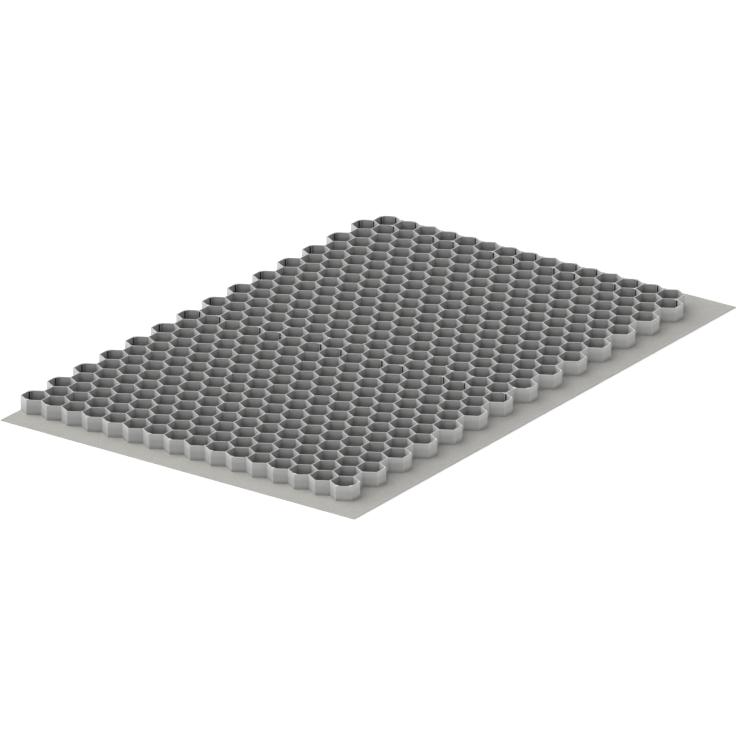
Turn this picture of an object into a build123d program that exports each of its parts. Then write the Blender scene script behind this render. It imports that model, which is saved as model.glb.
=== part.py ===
from build123d import *
import math
import os

# Lattice of hexagonal cells with a corner towards the front and back
pitch = 48.0
cell_wall = 1.5
wall_height = 30.0
cells_in_wide_row = 16
rows = 28
rows_in_section = 14

# Joint between the front and the rear section
joint_clearance = 0.1

# Geotextile sheet bonded under the cells
sheet_thickness = 1.0
front_overlap = 50.0
back_overlap = 52.0
right_overlap = 52.0

# Sockets: a capped pocket with a post, in cell corners along the back and left edges
socket_depth = 4.2
socket_cap = 1.2
post_width = 2.1
post_depth = 1.6

# Lugs: pads raised on the rim along the front and right edges
corner_lug_leg = 5.0
junction_lug_leg = 2.6
lug_rise = 1.0
lug_setback = 0.1

# Sockets and lugs take two places in every three cells
fitting_cycle = 3

# Sizes that follow from the ones above
root_three = math.sqrt(3)
row_pitch = pitch * root_three / 2
corner_radius = pitch / root_three
bore_radius = (pitch - cell_wall) / root_three
outer_radius = (pitch + cell_wall) / root_three
grid_width = cells_in_wide_row * pitch + cell_wall
grid_length = (rows - 1) * row_pitch + 2 * outer_radius
sheet_width = grid_width + right_overlap
sheet_length = front_overlap + grid_length + back_overlap
first_x = -sheet_width / 2 + (pitch + cell_wall) / 2
first_y = -sheet_length / 2 + front_overlap + outer_radius
foot_z = sheet_thickness
rim_z = sheet_thickness + wall_height


def cells_in(row):
    # Even rows have one cell fewer and sit half a pitch to the right
    return cells_in_wide_row - 1 if row % 2 == 0 else cells_in_wide_row


def centre(row, index):
    shift = pitch / 2 if row % 2 == 0 else 0.0
    return Vector(first_x + index * pitch + shift, first_y + (row - 1) * row_pitch)


def direction(angle):
    return Vector(math.cos(math.radians(angle)), math.sin(math.radians(angle)))


def corner(row, index, angle):
    return centre(row, index) + direction(angle) * corner_radius


def key_of(point):
    return (round(point.X, 3), round(point.Y, 3))


def cell_edges(first_row, last_row):
    # Every cell edge as a directed line, counterclockwise round its cell
    edges = {}
    for row in range(first_row, last_row + 1):
        for index in range(cells_in(row)):
            for angle in range(30, 390, 60):
                start = corner(row, index, angle)
                end = corner(row, index, angle + 60)
                edges[(key_of(start), key_of(end))] = (start, end)
    return edges


def outline(first_row, last_row):
    # Outer edges in order, moved out by half a wall, or in by half the clearance at the joint
    section_edges = cell_edges(first_row, last_row)
    all_edges = cell_edges(1, rows)
    next_edge = {}
    for (start_key, end_key), (start, end) in section_edges.items():
        if (end_key, start_key) in section_edges:
            continue
        distance = -joint_clearance / 2 if (end_key, start_key) in all_edges else cell_wall / 2
        step = (end - start).normalized()
        next_edge[start_key] = (start, end_key, Vector(step.Y, -step.X), distance)
    first_key = min(next_edge)
    loop = [next_edge[first_key]]
    while loop[-1][1] != first_key:
        loop.append(next_edge[loop[-1][1]])
    points = []
    for before, after in zip(loop[-1:] + loop[:-1], loop):
        one, two = before[2], after[2]
        spread = one.X * two.Y - one.Y * two.X
        move_x = (before[3] * two.Y - after[3] * one.Y) / spread
        move_y = (after[3] * one.X - before[3] * two.X) / spread
        points.append(after[0] + Vector(move_x, move_y))
    return points


def closed_wire(points, level):
    return Wire.make_polygon([Vector(p.X, p.Y, level) for p in points], close=True)


def prism(points, bottom, top):
    return extrude(Face(closed_wire(points, bottom)), amount=top - bottom, dir=(0, 0, 1))


def socket(row, index, angle):
    # Seen from inside the cell: a cap over the corner and a wedge-shaped post under its front edge
    inward = direction(angle + 180)
    across = direction(angle + 90)
    middle = corner(row, index, angle)
    front = middle + inward * socket_depth
    cap_reach = socket_depth * root_three
    cap = prism([middle, front + across * cap_reach, front - across * cap_reach], rim_z - socket_cap, rim_z)
    post_edge = across * (post_width / 2)
    post = prism([front + post_edge, front - post_edge, front - inward * post_depth], foot_z, rim_z)
    return [cap, post]


def lug(row, index, angle, leg):
    # A triangular pad on the rim, over the corner's two walls
    middle = corner(row, index, angle) + direction(angle + 180) * lug_setback
    left = middle + direction(angle + 120) * leg
    right = middle + direction(angle - 120) * leg
    return prism([middle, left, right], rim_z, rim_z + lug_rise)


def junction_lug(row, index):
    # The same pad where two cells of a row meet on the front edge, over the wall between them
    middle = corner(row, index, 210) + direction(90) * lug_setback
    left = middle + direction(150) * junction_lug_leg
    right = middle + direction(30) * junction_lug_leg
    return prism([middle, left, right], rim_z, rim_z + lug_rise)


def comb(first_row, last_row, fittings):
    bores = []
    for row in range(first_row, last_row + 1):
        for index in range(cells_in(row)):
            ring = [centre(row, index) + direction(angle) * bore_radius for angle in range(30, 390, 60)]
            bores.append(closed_wire(ring, foot_z))
    plan = Face(closed_wire(outline(first_row, last_row), foot_z), bores)
    body = extrude(plan, amount=wall_height, dir=(0, 0, 1))
    return body.fuse(*fittings)


def left_sockets(first_row, last_row):
    found = []
    for row in range(first_row, last_row + 1):
        if row % 2 == 1 or row == rows:
            found += socket(row, 0, 150)
    return found


def back_sockets(row):
    found = []
    for index in range(cells_in(row)):
        if index % fitting_cycle != fitting_cycle - 1:
            found += socket(row, index, 90)
    return found


def front_lugs(row):
    last = cells_in(row) - 1
    found = [lug(row, last, 330, corner_lug_leg)]
    for index in range(cells_in(row)):
        if index % fitting_cycle != fitting_cycle - 1:
            found.append(lug(row, index, 270, corner_lug_leg))
        if index > 0 and index % fitting_cycle != 1:
            found.append(junction_lug(row, index))
    return found


def right_lugs(first_row, last_row):
    odd_rows = [row for row in range(first_row, last_row + 1) if row % 2 == 1]
    return [lug(row, cells_in(row) - 1, 30, corner_lug_leg) for row in odd_rows]


joint_row = rows_in_section + 1
front_fittings = front_lugs(1) + right_lugs(1, rows_in_section)
front_fittings += left_sockets(1, rows_in_section) + back_sockets(rows_in_section - 1)
rear_fittings = front_lugs(joint_row) + right_lugs(joint_row, rows)
rear_fittings += left_sockets(joint_row, rows) + back_sockets(rows - 1) + back_sockets(rows)

front_section = comb(1, rows_in_section, front_fittings)
rear_section = comb(joint_row, rows, rear_fittings)

geotextile_sheet = Pos(0, 0, sheet_thickness / 2) * Box(sheet_width, sheet_length, sheet_thickness)

os.makedirs("parts", exist_ok=True)
export_step(front_section, "parts/front_section.step")
export_step(rear_section, "parts/rear_section.step")
export_step(geotextile_sheet, "parts/geotextile_sheet.step")
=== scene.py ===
"""Looks of a gravel grid: two moulded honeycomb sections bonded to one geotextile sheet."""

import logging
import math
from dataclasses import dataclass, field
from enum import Enum

import bmesh
import bpy
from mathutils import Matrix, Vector, noise

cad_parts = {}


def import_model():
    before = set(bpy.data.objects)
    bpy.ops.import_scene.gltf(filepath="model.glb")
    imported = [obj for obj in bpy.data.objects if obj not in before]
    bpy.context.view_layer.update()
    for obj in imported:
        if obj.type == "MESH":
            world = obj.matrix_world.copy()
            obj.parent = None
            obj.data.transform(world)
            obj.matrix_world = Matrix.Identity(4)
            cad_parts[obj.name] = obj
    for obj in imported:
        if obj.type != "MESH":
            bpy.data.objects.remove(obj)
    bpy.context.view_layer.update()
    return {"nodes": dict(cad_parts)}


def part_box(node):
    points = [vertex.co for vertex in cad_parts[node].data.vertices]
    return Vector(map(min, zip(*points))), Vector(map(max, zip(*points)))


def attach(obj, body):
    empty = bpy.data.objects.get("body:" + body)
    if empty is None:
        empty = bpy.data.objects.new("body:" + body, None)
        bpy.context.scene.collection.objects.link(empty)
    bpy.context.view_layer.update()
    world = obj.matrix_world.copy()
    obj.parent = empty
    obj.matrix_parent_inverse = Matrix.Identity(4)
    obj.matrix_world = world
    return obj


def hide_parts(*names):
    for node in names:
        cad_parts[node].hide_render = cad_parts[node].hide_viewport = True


SECTIONS = ("front_section", "rear_section")
HEX_TILT = math.radians(30.0)  # from a row of cells to the walls of its corners
ON_EDGE = 1e-5  # how near the sheet's edge a point counts as on it
log = logging.getLogger("gravel_grid")

Colour = tuple[float, float, float]
Output = bpy.types.NodeSocket
Paint = Output | Colour  # a colour that varies, or the same one all over


class GridEdge(Enum):
    """The edge of the grid that a socket is on, with the side that its shade leans to."""

    BACK = 1.0
    LEFT = -1.0


@dataclass(frozen=True)
class GridSizes:
    """Sizes of the finished object, in metres, as its solids have them.

    Attributes:
        foot: Height of the walls' feet, which is the top of the sheet.
        rim: Height of the walls' rims.
        pitch: Distance between the centres of neighbouring cells.
        row_pitch: Distance between the centre lines of neighbouring rows.
        corner_radius: Distance from a cell's centre to the middle of its corners.
        first_x: Middle of the first cell of the first row, across.
        first_y: Middle of the first cell of the first row, along.
        front_overlap: How far the sheet passes the front row.
        back_overlap: How far the sheet passes the back row.
        right_overlap: How far the sheet passes the grid on its right.
    """

    foot: float = 0.001
    rim: float = 0.031
    pitch: float = 0.048
    row_pitch: float = 0.0415692
    corner_radius: float = 0.0277128
    first_x: float = -0.386
    first_y: float = -0.5621845
    front_overlap: float = 0.050
    back_overlap: float = 0.052
    right_overlap: float = 0.052


class Shader:
    """A short way to write a node tree: each call adds one node and joins it up."""

    def __init__(self, tree: bpy.types.NodeTree) -> None:
        """Starts on an empty tree.

        Args:
            tree: The material's or the group's node tree.
        """
        self.tree = tree
        tree.nodes.clear()

    def add(
        self, kind: str, inputs: dict[str | int, object] | None = None, **settings: object
    ) -> bpy.types.Node:
        """Adds one node.

        Args:
            kind: The node's type, without the ShaderNode at its front.
            inputs: A value or another node's output for each named or numbered socket.
            **settings: Properties to set on the node.

        Returns:
            The new node.
        """
        node = self.tree.nodes.new(kind if kind.startswith("Node") else "ShaderNode" + kind)
        for name, value in settings.items():
            setattr(node, name, value)
        for socket, value in (inputs or {}).items():
            if isinstance(value, bpy.types.NodeSocket):
                self.tree.links.new(value, node.inputs[socket])
            elif node.inputs[socket].type == "RGBA":
                node.inputs[socket].default_value = (*value, 1.0)
            else:
                node.inputs[socket].default_value = value
        return node

    def math(self, operation: str, *values: Output | float) -> Output:
        """Adds a Math node and returns its output."""
        return self.add("Math", dict(enumerate(values)), operation=operation).outputs[0]

    def largest(self, values: list[Output]) -> Output:
        """Compares several values.

        Args:
            values: The values' outputs.

        Returns:
            The largest of them at each point.
        """
        result = values[0]
        for value in values[1:]:
            result = self.math("MAXIMUM", result, value)
        return result

    def noise(self, vector: Output, scale: float, detail: float) -> Output:
        """Adds a Noise Texture and returns its value, from 0 to 1."""
        inputs = {"Vector": vector, "Scale": scale, "Detail": detail, "Roughness": 0.6}
        return self.add("TexNoise", inputs).outputs["Fac"]

    def stretch(self, vector: Output, scale: tuple[float, float, float], turn: float = 0.0) -> Output:
        """Turns a pattern about Z and stretches it.

        Args:
            vector: The pattern's coordinates.
            scale: How many times finer the pattern gets along each axis.
            turn: Angle that it turns by first, in radians.

        Returns:
            The new coordinates.
        """
        turned = {"Vector": vector, "Rotation": (0.0, 0.0, turn)}
        flat = self.add("Mapping", turned).outputs[0]
        return self.add("Mapping", {"Vector": flat, "Scale": scale}).outputs[0]

    def ramp(self, value: Output, low: float, high: float, start: float, end: float) -> Output:
        """Turns one range of values smoothly into another.

        Args:
            value: The value to turn.
            low: Where the first range starts; anything under it gives start.
            high: Where the first range ends; anything over it gives end.
            start: Where the second range starts.
            end: Where the second range ends.

        Returns:
            The new value.
        """
        inputs = {"Value": value, "From Min": low, "From Max": high, "To Min": start, "To Max": end}
        return self.add("MapRange", inputs, interpolation_type="SMOOTHSTEP").outputs[0]

    def shade(self, colour: Paint, factor: Output | float) -> Output:
        """Multiplies a colour by a factor and returns the result."""
        return self.add("VectorMath", {0: colour, "Scale": factor}, operation="SCALE").outputs[0]

    def blend(self, factor: Output, first: Paint, second: Paint) -> Output:
        """Adds a colour Mix node and returns its result."""
        return self.add("Mix", {0: factor, 6: first, 7: second}, data_type="RGBA").outputs[2]


class Groups:
    """Shader node groups that more than one finish uses, each built once."""

    def __init__(self) -> None:
        """Builds the groups."""
        self.mottle = self._mottle()
        self.grain = self._grain()

    @staticmethod
    def _open(name: str, inputs: dict[str, float], outputs: list[str]) -> tuple[Shader, bpy.types.Node]:
        """Starts a group with a vector input, number inputs and number outputs.

        Args:
            name: The group's name.
            inputs: The number inputs and what each starts at.
            outputs: The number outputs.

        Returns:
            The group's tree as a Shader, and its input node.
        """
        tree = bpy.data.node_groups.new(name, "ShaderNodeTree")
        tree.interface.new_socket("Vector", in_out="INPUT", socket_type="NodeSocketVector")
        for label, start in inputs.items():
            socket = tree.interface.new_socket(label, in_out="INPUT", socket_type="NodeSocketFloat")
            socket.default_value = start
        for label in outputs:
            tree.interface.new_socket(label, in_out="OUTPUT", socket_type="NodeSocketFloat")
        shader = Shader(tree)
        return shader, shader.add("NodeGroupInput")

    def _mottle(self) -> bpy.types.NodeTree:
        """Builds cloudy unevenness at two sizes, as a factor about 1.

        Returns:
            The group's tree.
        """
        shader, given = self._open("mottle", {"Size": 20.0, "Amount": 0.05}, ["Factor"])
        inputs = {"Vector": given.outputs["Vector"], "Scale": given.outputs["Size"], "Detail": 3.0}
        broad = shader.add("TexNoise", inputs).outputs["Fac"]
        fine_size = shader.math("MULTIPLY", given.outputs["Size"], 5.3)
        fine_inputs = {"Vector": given.outputs["Vector"], "Scale": fine_size, "Detail": 2.0}
        fine = shader.add("TexNoise", fine_inputs).outputs["Fac"]
        both = shader.math("ADD", broad, shader.math("MULTIPLY", fine, 0.5))
        centred = shader.math("SUBTRACT", both, 0.75)
        swing = shader.math("MULTIPLY", centred, given.outputs["Amount"])
        factor = shader.math("MULTIPLY_ADD", swing, 2.0, 1.0)
        shader.add("NodeGroupOutput", {"Factor": factor})
        return shader.tree

    def _grain(self) -> bpy.types.NodeTree:
        """Builds fine surface grain, as a height and as a matching change of roughness.

        Returns:
            The group's tree.
        """
        shader, given = self._open("grain", {"Size": 900.0, "Depth": 1.0}, ["Height", "Roughness"])
        inputs = {"Vector": given.outputs["Vector"], "Scale": given.outputs["Size"], "Detail": 4.0}
        speck = shader.add("TexNoise", inputs).outputs["Fac"]
        height = shader.math("MULTIPLY", speck, given.outputs["Depth"])
        rough = shader.math("MULTIPLY_ADD", speck, 0.12, -0.06)
        shader.add("NodeGroupOutput", {"Height": height, "Roughness": rough})
        return shader.tree


@dataclass(frozen=True)
class SocketShade:
    """Deep shade in the corner sockets behind their posts, laid out on the lattice of cells.

    Attributes:
        half_width: Half the width of the shade across the corner.
        lean: How far the shade's middle lies beside the corner.
        depth: How far it reaches into the cell, just short of the post's face.
        clear: How far past the middle lines of the corner's walls it begins.
        cap: Thickness of the cap over the socket.
        cycle: Cells after which the sockets of a row repeat. The last of them has none.
        back_rows: Rows with sockets in their back corners.
        last_row: The last row, whose first cell has a socket in its left corner too.
    """

    half_width: float = 0.00285
    lean: float = 0.00055
    depth: float = 0.0039
    clear: float = 0.0003
    cap: float = 0.0012
    cycle: int = 3
    back_rows: tuple[int, ...] = (13, 27, 28)
    last_row: int = 28

    def mask(self, shader: Shader, place: Output, sizes: GridSizes) -> Output:
        """Builds a mask that is 1 inside every socket.

        Args:
            shader: The material's tree.
            place: Object coordinates.
            sizes: The lattice's sizes.

        Returns:
            The mask.
        """
        split = shader.add("SeparateXYZ", {0: place}).outputs
        x, y = split["X"], split["Y"]
        low = shader.math("LESS_THAN", split["Z"], sizes.rim - self.cap)
        found = [self._back(shader, x, y, sizes, row) for row in self.back_rows]
        found.append(self._left(shader, x, y, sizes))
        return shader.math("MULTIPLY", shader.largest(found), low)

    def _inside(self, shader: Shader, along: Output, across: Output, edge: GridEdge) -> Output:
        """Masks one corner.

        Args:
            shader: The material's tree.
            along: Distance from the corner into the cell.
            across: Distance from the corner's axis, more than 0 on its right seen from the cell.
            edge: The grid's edge that the corner is on.

        Returns:
            The mask.
        """
        side = shader.math("ABSOLUTE", across)
        beside = shader.math("ABSOLUTE", shader.math("SUBTRACT", across, self.lean * edge.value))
        past_wall = shader.math("MULTIPLY_ADD", side, -math.tan(HEX_TILT), along)
        inner = shader.math("GREATER_THAN", past_wall, self.clear)
        near = shader.math("LESS_THAN", beside, self.half_width)
        shallow = shader.math("LESS_THAN", along, self.depth)
        return shader.math("MULTIPLY", shader.math("MULTIPLY", inner, near), shallow)

    def _back(self, shader: Shader, x: Output, y: Output, sizes: GridSizes, row: int) -> Output:
        """Masks the back corners of one row.

        Args:
            shader: The material's tree.
            x: The point's place across the grid.
            y: The point's place along it.
            sizes: The lattice's sizes.
            row: The row, counted from 1 at the front.

        Returns:
            The mask.
        """
        shift = 0.0 if row % 2 else sizes.pitch / 2
        corner_y = sizes.first_y + (row - 1) * sizes.row_pitch + sizes.corner_radius
        place = shader.math("SUBTRACT", x, sizes.first_x + shift)
        cell = shader.math("ROUND", shader.math("DIVIDE", place, sizes.pitch))
        across = shader.math("MULTIPLY_ADD", cell, -sizes.pitch, place)
        along = shader.math("SUBTRACT", corner_y, y)
        turn = shader.math("FLOORED_MODULO", cell, float(self.cycle))
        has_socket = shader.math("LESS_THAN", turn, self.cycle - 1.5)
        corner = self._inside(shader, along, across, GridEdge.BACK)
        return shader.math("MULTIPLY", corner, has_socket)

    def _left(self, shader: Shader, x: Output, y: Output, sizes: GridSizes) -> Output:
        """Masks the left corners of every second row's first cell, and the last row's.

        Args:
            shader: The material's tree.
            x: The point's place across the grid.
            y: The point's place along it.
            sizes: The lattice's sizes.

        Returns:
            The mask.
        """
        period = 2 * sizes.row_pitch
        ahead = shader.math("SUBTRACT", y, sizes.first_y + sizes.corner_radius / 2)
        steps = shader.math("ROUND", shader.math("DIVIDE", ahead, period))
        odd_y = shader.math("MULTIPLY_ADD", steps, -period, ahead)
        odd_x = shader.math("SUBTRACT", x, sizes.first_x - sizes.pitch / 2)
        last_y = shader.math("SUBTRACT", ahead, (self.last_row - 1) * sizes.row_pitch)
        last_x = shader.math("SUBTRACT", x, sizes.first_x)
        return shader.largest([self._turned(shader, odd_x, odd_y), self._turned(shader, last_x, last_y)])

    def _turned(self, shader: Shader, x: Output, y: Output) -> Output:
        """Masks a left corner, whose axis runs into the cell 30 degrees down from +X.

        Args:
            shader: The material's tree.
            x: Distance from the corner to the right.
            y: Distance from the corner to the back.

        Returns:
            The mask.
        """
        cosine, sine = math.cos(HEX_TILT), math.sin(HEX_TILT)
        along = shader.math("MULTIPLY_ADD", x, cosine, shader.math("MULTIPLY", y, -sine))
        across = shader.math("MULTIPLY_ADD", x, sine, shader.math("MULTIPLY", y, cosine))
        return self._inside(shader, along, across, GridEdge.LEFT)


@dataclass(frozen=True)
class MouldedPlastic:
    """Matte recycled plastic of the cells, pale grey, with mould grain and draw marks.

    Attributes:
        name: The material's name.
        body: Colour of the walls.
        rim: Colour that the rims turn to, partly from wear and partly a painted highlight on their tops.
        lug_highlight: Colour of the painted highlight on the tops of the lugs, which stand above the rims.
        foot_shade: Colour of the painted shade at the walls' feet.
        socket_shade_colour: Colour of the painted shade deep inside the corner sockets.
        roughness: Middle roughness.
        rim_gloss: How much smoother the rims are, from wear.
        rim_band: Heights from the rims between which the wear sets in.
        lug_highlight_band: Heights from the rims between which the lugs' painted highlight sets in.
        shade_fade_band: Heights above the feet where painted shade lower down gives way to paler walls.
        foot_shade_height: Height above the feet where the painted shade at the feet ends.
        shade_reach: How near another wall must stand to darken a place with painted shade.
    """

    name: str = "grid_plastic"
    body: Colour = (0.500, 0.505, 0.500)
    rim: Colour = (0.640, 0.645, 0.640)
    lug_highlight: Colour = (0.840, 0.842, 0.838)
    foot_shade: Colour = (0.250, 0.247, 0.235)
    socket_shade_colour: Colour = (0.030, 0.030, 0.030)
    roughness: float = 0.58
    rim_gloss: float = 0.08
    rim_band: tuple[float, float] = (-0.0016, -0.0001)
    lug_highlight_band: tuple[float, float] = (0.0002, 0.0008)
    shade_fade_band: tuple[float, float] = (0.015, 0.025)
    foot_shade_height: float = 0.009
    shade_reach: float = 0.06

    def make(self, groups: Groups, sizes: GridSizes) -> bpy.types.Material:
        """Builds the material.

        Args:
            groups: The shared node groups.
            sizes: Heights of the rims and feet.

        Returns:
            The material.
        """
        material = bpy.data.materials.new(self.name)
        material.use_nodes = True
        shader = Shader(material.node_tree)
        place = shader.add("TexCoord").outputs["Object"]
        height = shader.add("SeparateXYZ", {0: place}).outputs["Z"]
        low, high = self.rim_band
        rim_mask = shader.ramp(height, sizes.rim + low, sizes.rim + high, 0.0, 1.0)
        streaks = shader.noise(shader.stretch(place, (700.0, 700.0, 22.0)), 1.0, 3.0)

        mottle_inputs = {"Vector": place, "Size": 16.0, "Amount": 0.06}
        mottle = shader.add("Group", mottle_inputs, node_tree=groups.mottle).outputs["Factor"]
        drawn = shader.ramp(streaks, 0.25, 0.75, 0.975, 1.02)
        # Painted shade: the walls darker lower down, paler above
        low, high = self.shade_fade_band
        height_shaded = shader.ramp(height, sizes.foot + low, sizes.foot + high, 0.88, 1.03)
        walls = shader.shade(shader.shade(shader.shade(self.body, mottle), drawn), height_shaded)
        rimmed = self._rimmed(shader, place, height, sizes, rim_mask, walls)
        # Painted shade in hollows, darker where other walls stand near
        occlusion = shader.add("AmbientOcclusion", {"Distance": self.shade_reach}, samples=12)
        occlusion_shaded = shader.shade(rimmed, shader.ramp(occlusion.outputs["AO"], 0.17, 0.37, 0.43, 1.0))
        # Painted shade at the walls' feet
        foot_shaded = shader.blend(self._foot_shade_mask(shader, place, height, sizes), occlusion_shaded, self.foot_shade)
        # Painted shade deep inside the corner sockets, behind their posts
        colour = shader.blend(SocketShade().mask(shader, place, sizes), foot_shaded, self.socket_shade_colour)

        grain_inputs = {"Vector": place, "Size": 1100.0, "Depth": 0.6}
        grain = shader.add("Group", grain_inputs, node_tree=groups.grain).outputs
        relief = shader.math("ADD", grain["Height"], shader.math("MULTIPLY", streaks, 0.5))
        bump = shader.add("Bump", {"Height": relief, "Strength": 0.25, "Distance": 0.0001})
        dull = shader.ramp(rim_mask, 0.0, 1.0, self.roughness, self.roughness - self.rim_gloss)
        gloss = shader.math("ADD", grain["Roughness"], dull)
        inputs = {"Base Color": colour, "Roughness": gloss, "Normal": bump.outputs[0]}
        surface = shader.add("BsdfPrincipled", inputs)
        surface.inputs["IOR"].default_value = 1.47
        surface.inputs["Specular IOR Level"].default_value = 0.35
        shader.add("OutputMaterial", {"Surface": surface.outputs[0]})
        return material

    def _rimmed(
        self, shader: Shader, place: Output, height: Output, sizes: GridSizes, rim_mask: Output, walls: Output
    ) -> Output:
        """Adds the rims' wear with a painted highlight, and a painted highlight on the lugs' tops.

        Args:
            shader: The material's tree.
            place: Object coordinates.
            height: The point's height.
            sizes: Heights of the rims and feet.
            rim_mask: Mask of the rims.
            walls: Colour of the walls.

        Returns:
            The colour with both.
        """
        # Rims paler from wear chips, and from a painted highlight on their tops
        chips = shader.ramp(shader.noise(place, 260.0, 3.0), 0.35, 0.62, 0.55, 1.0)
        rim_worn_and_highlit = shader.blend(shader.math("MULTIPLY", rim_mask, chips), walls, self.rim)
        # Painted highlight on the tops of the lugs, which stand above the rims
        low, high = self.lug_highlight_band
        lug_highlight_mask = shader.ramp(height, sizes.rim + low, sizes.rim + high, 0.0, 1.0)
        return shader.blend(lug_highlight_mask, rim_worn_and_highlit, self.lug_highlight)

    def _foot_shade_mask(self, shader: Shader, place: Output, height: Output, sizes: GridSizes) -> Output:
        """Masks the painted shade at the feet, darker on sides that face right, away from the main lamp.

        Args:
            shader: The material's tree.
            place: Object coordinates.
            height: The point's height.
            sizes: Heights of the rims and feet.

        Returns:
            The mask.
        """
        normal = shader.add("NewGeometry").outputs["Normal"]
        facing = shader.add("SeparateXYZ", {0: normal}).outputs["X"]
        # Painted shade: sides that face right, away from the main lamp, get more
        away_from_key = shader.ramp(facing, -0.5, 1.0, 0.56, 0.92)
        rising = shader.ramp(height, sizes.foot, sizes.foot + self.foot_shade_height, 1.0, 0.0)
        patches = shader.ramp(shader.noise(place, 90.0, 4.0), 0.3, 0.7, 0.65, 1.0)
        return shader.math("MULTIPLY", shader.math("MULTIPLY", rising, away_from_key), patches)


@dataclass(frozen=True)
class NeedledFelt:
    """Non-woven geotextile: matted fibres that lie every way, warm grey.

    Attributes:
        name: The material's name.
        body: Colour of the matted fibres.
        pale: Colour of single fibres on top.
        roughness: Middle roughness.
        runs: Angles that the fibres run at, in radians.
        bend: How far the fibres bend from straight.
    """

    name: str = "geotextile"
    body: Colour = (0.432, 0.422, 0.396)
    pale: Colour = (0.560, 0.550, 0.522)
    roughness: float = 0.93
    runs: tuple[float, ...] = (0.2, 1.1, 2.0, 2.7)
    bend: float = 0.006

    def make(self, groups: Groups) -> bpy.types.Material:
        """Builds the material.

        Args:
            groups: The shared node groups.

        Returns:
            The material.
        """
        material = bpy.data.materials.new(self.name)
        material.use_nodes = True
        shader = Shader(material.node_tree)
        place = shader.add("TexCoord").outputs["Object"]
        fibres = self._fibres(shader, place)
        top = shader.ramp(fibres, 0.55, 0.74, 0.0, 0.85)
        gaps = shader.ramp(fibres, 0.38, 0.55, 0.86, 1.0)

        mottle_inputs = {"Vector": place, "Size": 26.0, "Amount": 0.10}
        mottle = shader.add("Group", mottle_inputs, node_tree=groups.mottle).outputs["Factor"]
        matted = shader.shade(shader.shade(self.body, mottle), gaps)
        colour = shader.blend(top, matted, self.pale)

        grain_inputs = {"Vector": place, "Size": 700.0, "Depth": 0.5}
        grain = shader.add("Group", grain_inputs, node_tree=groups.grain).outputs
        relief = shader.math("ADD", fibres, grain["Height"])
        bump = shader.add("Bump", {"Height": relief, "Strength": 0.5, "Distance": 0.0004})
        gloss = shader.math("ADD", grain["Roughness"], self.roughness)
        inputs = {"Base Color": colour, "Roughness": gloss, "Normal": bump.outputs[0]}
        surface = shader.add("BsdfPrincipled", inputs)
        surface.inputs["Specular IOR Level"].default_value = 0.15
        surface.inputs["Sheen Weight"].default_value = 0.10
        surface.inputs["Sheen Roughness"].default_value = 0.6
        shader.add("OutputMaterial", {"Surface": surface.outputs[0]})
        return material

    def _fibres(self, shader: Shader, place: Output) -> Output:
        """Lays bent fibres over each other.

        Args:
            shader: The material's tree.
            place: Object coordinates.

        Returns:
            How high the uppermost fibre is at each point.
        """
        wavy = shader.add("TexNoise", {"Vector": place, "Scale": 120.0, "Detail": 1.0})
        pushed = shader.shade(wavy.outputs["Color"], self.bend)
        bent = shader.add("VectorMath", {0: place, 1: pushed}, operation="ADD").outputs[0]
        stretched = [shader.stretch(bent, (150.0, 1900.0, 600.0), turn) for turn in self.runs]
        return shader.largest([shader.noise(run, 1.0, 1.0) for run in stretched])


@dataclass
class HoneycombSection:
    """One moulded section of cells, which keeps its solid and gets its finish.

    Attributes:
        node: The section's node in the frame.
        material: The plastic it is moulded in.
    """

    node: str
    material: bpy.types.Material

    def dress(self, nodes: dict[str, bpy.types.Object]) -> bpy.types.Object:
        """Gives the section its finish.

        Args:
            nodes: The frame's nodes by name.

        Returns:
            The section's object.
        """
        section = nodes[self.node]
        section.data.materials.clear()
        section.data.materials.append(self.material)
        log.info("%s: %d triangles in moulded plastic", self.node, len(section.data.polygons))
        return section


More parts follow.
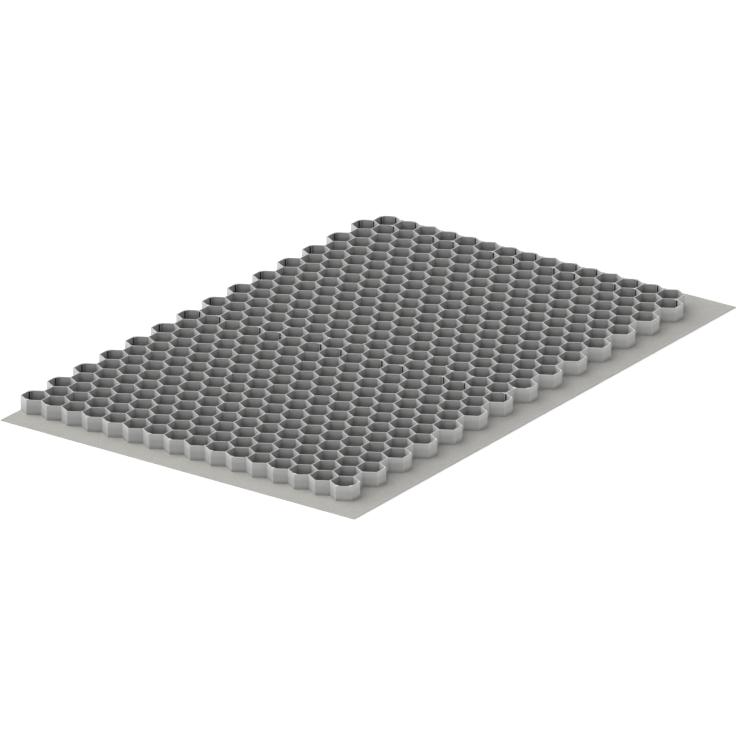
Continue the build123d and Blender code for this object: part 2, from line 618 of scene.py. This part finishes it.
@dataclass
class GeotextileSheet:
    """The sheet under the cells: flat where they are bonded, a little uneven on its free flaps.

    Attributes:
        sizes: The object's sizes.
        material: The felt it is made of.
        node: The solid that it stands for.
        thickness: Thickness of the felt.
        squares: Squares of the mesh across the sheet and along it.
        lift: How far the free flaps rise.
        lift_waves: How many waves they rise in, in a metre.
        fray: How far the cut edges wander.
        fray_waves: How often they wander, in a metre.
        corners: The solid's lowest and highest corners.
    """

    sizes: GridSizes
    material: bpy.types.Material
    node: str = "geotextile_sheet"
    thickness: float = 0.001
    squares: tuple[int, int] = (116, 180)
    lift: float = 0.0006
    lift_waves: float = 14.0
    fray: float = 0.0004
    fray_waves: float = 60.0
    corners: tuple[Vector, Vector] = field(init=False)

    def build(self) -> bpy.types.Object:
        """Builds the sheet and puts it on the body.

        Returns:
            The sheet's object.
        """
        self.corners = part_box(self.node)
        low, high = self.corners
        span = high - low
        middle = (low + high) / 2
        across, along = self.squares
        mesh = bpy.data.meshes.new("geotextile")
        mesh_edit = bmesh.new()
        bmesh.ops.create_grid(mesh_edit, x_segments=across, y_segments=along, size=0.5)
        bmesh.ops.scale(mesh_edit, vec=(span.x, span.y, 1.0), verts=mesh_edit.verts)
        bmesh.ops.translate(mesh_edit, vec=(middle.x, middle.y, low.z), verts=mesh_edit.verts)
        self._cut_edges(mesh_edit)
        self._raise_flaps(mesh_edit)
        mesh_edit.to_mesh(mesh)
        mesh_edit.free()
        sheet = bpy.data.objects.new("geotextile", mesh)
        bpy.context.scene.collection.objects.link(sheet)
        thick = sheet.modifiers.new("thickness", "SOLIDIFY")
        thick.thickness = self.thickness
        thick.offset = 1.0
        thick.use_even_offset = False
        sheet.data.materials.append(self.material)
        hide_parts(self.node)
        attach(sheet, "root")
        log.info("geotextile: %d squares, %.1f mm thick", len(mesh.polygons), self.thickness * 1000)
        return sheet

    def _cut_edges(self, mesh_edit: bmesh.types.BMesh) -> None:
        """Lets the cut edges wander inwards a little, as scissors leave them.

        Args:
            mesh_edit: The sheet's mesh, while it is flat.
        """
        low, high = self.corners
        for vert in mesh_edit.verts:
            if not vert.is_boundary:
                continue
            place = Vector((vert.co.x, vert.co.y, 0.0)) * self.fray_waves
            wander = self.fray * 0.5 * (1 + noise.noise(place))
            if min(vert.co.x - low.x, high.x - vert.co.x) < ON_EDGE:
                vert.co.x -= math.copysign(wander, vert.co.x)
            if min(vert.co.y - low.y, high.y - vert.co.y) < ON_EDGE:
                vert.co.y -= math.copysign(wander, vert.co.y)

    def _raise_flaps(self, mesh_edit: bmesh.types.BMesh) -> None:
        """Raises the free flaps in low waves that die out before the cells.

        Args:
            mesh_edit: The sheet's mesh, while it is flat.
        """
        low, high = self.corners
        for vert in mesh_edit.verts:
            free = max(
                1 - (vert.co.y - low.y) / self.sizes.front_overlap,
                1 - (high.y - vert.co.y) / self.sizes.back_overlap,
                1 - (high.x - vert.co.x) / self.sizes.right_overlap,
                0.0,
            )
            place = Vector((vert.co.x, vert.co.y, 0.3)) * self.lift_waves
            wave = 0.5 * (1 + noise.noise(place))
            vert.co.z += self.lift * wave * free * free


@dataclass(frozen=True)
class Studio:
    """Plain floor, soft light and the camera at its viewing angle.

    Attributes:
        floor_half: Half the floor's width.
        floor_gap: How far the floor lies below the sheet.
        floor_colour: Colour of the floor.
        floor_lift: Light added to the floor where the camera sees it, so that it shows white.
        sky: Strength of the even light from all round.
        key: Strength of the main lamp, as light on a surface square to it.
        key_from: Direction the main lamp stands in on plan, in degrees from +X towards +Y.
        key_height: Height of the main lamp above the horizon, in degrees.
        key_softness: Width of the main lamp as seen from the object, in degrees.
        card_size: Width and height of the low card of light on the right.
        card_distance: How far the card stands from the middle.
        card_power: Power of the card, in watts.
        target: Point that the camera looks at.
        azimuth: The camera's angle round the object, in degrees.
        elevation: The camera's angle above the horizon, in degrees.
        distance: The camera's distance from its target.
        lens: Focal length, in millimetres.
        sensor: Width of the sensor, in millimetres.
        clip: Nearest and farthest distance that the camera sees.
    """

    floor_half: float = 30.0
    floor_gap: float = 0.0002
    floor_colour: Colour = (0.97, 0.97, 0.97)
    floor_lift: float = 0.12
    sky: float = 0.33
    key: float = 1.00
    key_from: float = 202.0
    key_height: float = 40.0
    key_softness: float = 100.0
    card_size: tuple[float, float] = (3.0, 0.05)
    card_distance: float = 1.2
    card_power: float = 5.0
    target: tuple[float, float, float] = (0.00724, -0.02710, 0.001)
    azimuth: float = 35.334
    elevation: float = 22.379
    distance: float = 19.836
    lens: float = 506.63
    sensor: float = 36.0
    clip: tuple[float, float] = (0.1, 200.0)

    def build(self) -> None:
        """Builds the floor, the lights and the camera."""
        self._floor()
        self._world()
        self._lamp()
        self._card()
        self._camera()

    @staticmethod
    def _seen(shader: Shader) -> Output:
        """Masks what the camera sees, also by reflection or through glass.

        Args:
            shader: The material's or the world's tree.

        Returns:
            The mask, 1 for such rays.
        """
        path = shader.add("LightPath").outputs
        return shader.largest([path["Is Camera Ray"], path["Is Glossy Ray"], path["Is Transmission Ray"]])

    @staticmethod
    def _place(name: str, data: bpy.types.ID) -> bpy.types.Object:
        """Puts new data in the scene.

        Args:
            name: The object's name.
            data: A mesh, a light or a camera.

        Returns:
            The new object.
        """
        holder = bpy.data.objects.new(name, data)
        bpy.context.scene.collection.objects.link(holder)
        return holder

    def _floor(self) -> None:
        """Builds a wide floor just under the sheet."""
        mesh = bpy.data.meshes.new("floor")
        mesh_edit = bmesh.new()
        bmesh.ops.create_grid(mesh_edit, x_segments=1, y_segments=1, size=self.floor_half)
        bmesh.ops.translate(mesh_edit, vec=(0.0, 0.0, -self.floor_gap), verts=mesh_edit.verts)
        mesh_edit.to_mesh(mesh)
        mesh_edit.free()
        floor = self._place("floor", mesh)
        material = bpy.data.materials.new("floor")
        material.use_nodes = True
        shader = Shader(material.node_tree)
        surface = shader.add("BsdfDiffuse", {"Color": self.floor_colour})
        lift = shader.math("MULTIPLY", self._seen(shader), self.floor_lift)
        glow = shader.add("Emission", {"Color": (1.0, 1.0, 1.0), "Strength": lift})
        both = shader.add("AddShader", {0: surface.outputs[0], 1: glow.outputs[0]})
        shader.add("OutputMaterial", {"Surface": both.outputs[0]})
        mesh.materials.append(material)

    def _world(self) -> None:
        """Builds even light from all round, and white where the camera sees past the floor."""
        world = bpy.data.worlds.new("studio")
        bpy.context.scene.world = world
        world.use_nodes = True
        shader = Shader(world.node_tree)
        inputs = {"Value": self._seen(shader), "To Min": self.sky, "To Max": 1.0}
        strength = shader.add("MapRange", inputs).outputs[0]
        light = shader.add("Background", {"Color": (1.0, 1.0, 1.0), "Strength": strength})
        shader.add("OutputWorld", {"Surface": light.outputs[0]})

    def _lamp(self) -> None:
        """Builds the main lamp, broad and far away."""
        lamp = bpy.data.lights.new("key", "SUN")
        lamp.energy = self.key * math.pi
        lamp.angle = math.radians(self.key_softness)
        plan, height = math.radians(self.key_from), math.radians(self.key_height)
        flat = math.cos(height)
        towards = Vector((math.cos(plan) * flat, math.sin(plan) * flat, math.sin(height)))
        self._place("key", lamp).rotation_euler = towards.to_track_quat("Z", "Y").to_euler()

    def _card(self) -> None:
        """Builds a long low card of light that stands on the floor to the right."""
        card = bpy.data.lights.new("card", "AREA")
        card.shape = "RECTANGLE"
        card.size, card.size_y = self.card_size
        card.energy = self.card_power
        holder = self._place("card", card)
        holder.location = (self.card_distance, 0.0, self.card_size[1] / 2)
        holder.rotation_euler = Vector((1.0, 0.0, 0.0)).to_track_quat("Z", "Y").to_euler()

    def _camera(self) -> None:
        """Builds the camera and sets how its picture is shown."""
        lens = bpy.data.cameras.new("camera")
        lens.lens = self.lens
        lens.sensor_width = self.sensor
        lens.clip_start, lens.clip_end = self.clip
        camera = self._place("camera", lens)
        turn, rise = math.radians(self.azimuth), math.radians(self.elevation)
        flat = math.cos(rise)
        back = Vector((math.sin(turn) * flat, -math.cos(turn) * flat, math.sin(rise)))
        camera.location = Vector(self.target) + back * self.distance
        camera.rotation_euler = back.to_track_quat("Z", "Y").to_euler()
        bpy.context.scene.camera = camera
        bpy.context.scene.view_settings.view_transform = "Standard"


def main() -> None:
    """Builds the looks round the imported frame."""
    logging.basicConfig(level=logging.INFO, format="%(name)s: %(message)s")
    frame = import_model()
    sizes = GridSizes()
    groups = Groups()
    plastic = MouldedPlastic().make(groups, sizes)
    felt = NeedledFelt().make(groups)
    for node in SECTIONS:
        HoneycombSection(node, plastic).dress(frame["nodes"])
    GeotextileSheet(sizes, felt).build()
    Studio().build()


if __name__ == "__main__":
    main()
